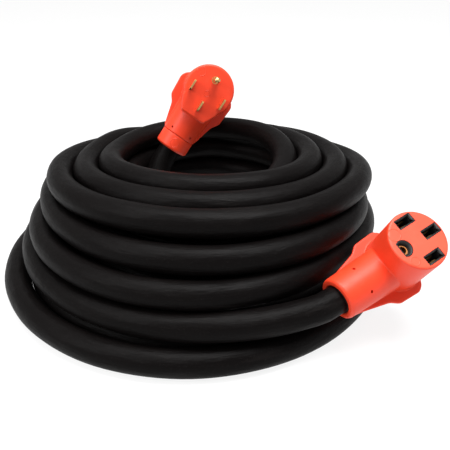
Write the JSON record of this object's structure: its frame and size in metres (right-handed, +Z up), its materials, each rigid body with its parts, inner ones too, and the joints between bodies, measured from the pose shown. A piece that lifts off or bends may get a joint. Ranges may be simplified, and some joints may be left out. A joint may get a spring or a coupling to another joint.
{
  "type": "shore power cord",
  "caption": "Coiled heavy four-wire power cord with a right-angle blade plug and a right-angle socket connector, both moulded with grip wings.",
  "frame": {"origin": "centre of the footprint, on the floor that the coil lies on", "axes": "+Z up, out of the coil's top; +X across the widest part, towards the connector; +Y towards the side that the plug stands at"},
  "size_m": [0.4081, 0.383, 0.1957],
  "materials": {
    "moulded_red": "soft moulded PVC, satin",
    "inner_moulding": "rigid nylon, natural",
    "brass_blade": "bright stamped brass",
    "contact_brass": "spring brass, dull",
    "copper": "bare stranded copper",
    "clamp_steel": "zinc-plated steel",
    "spring_steel": "bright spring steel",
    "wire_black": "PVC insulation",
    "wire_red": "PVC insulation",
    "wire_white": "PVC insulation",
    "wire_green": "PVC insulation",
    "cable_jacket": "matt black jacket"
  },
  "bodies": {
    "root": {"plug_overmould": "moulded_red", "plug_collar": "moulded_red", "plug_insert": "inner_moulding", "plug_cord_clamp": "clamp_steel", "plug_cord_end": "cable_jacket", "plug_line_blade_1": "brass_blade", "plug_line_blade_2": "brass_blade", "plug_neutral_blade": "brass_blade", "plug_ground_pin": "brass_blade", "plug_line_wire_1": "wire_black", "plug_line_wire_2": "wire_red", "plug_neutral_wire": "wire_white", "plug_ground_wire": "wire_green", "plug_wire_cores": "copper", "connector_overmould": "moulded_red", "connector_insert": "inner_moulding", "connector_cord_clamp": "clamp_steel", "connector_cord_end": "cable_jacket", "connector_line_contact_1": "contact_brass", "connector_line_contact_2": "contact_brass", "connector_neutral_contact": "contact_brass", "connector_ground_socket": "contact_brass", "connector_contact_springs": "spring_steel", "connector_line_wire_1": "wire_black", "connector_line_wire_2": "wire_red", "connector_neutral_wire": "wire_white", "connector_ground_wire": "wire_green", "connector_wire_cores": "copper", "cord_base_turn": "cable_jacket", "cord_coil": "cable_jacket", "cord_plug_tail": "cable_jacket", "cord_connector_tail": "cable_jacket"}
  },
  "joints": []
}
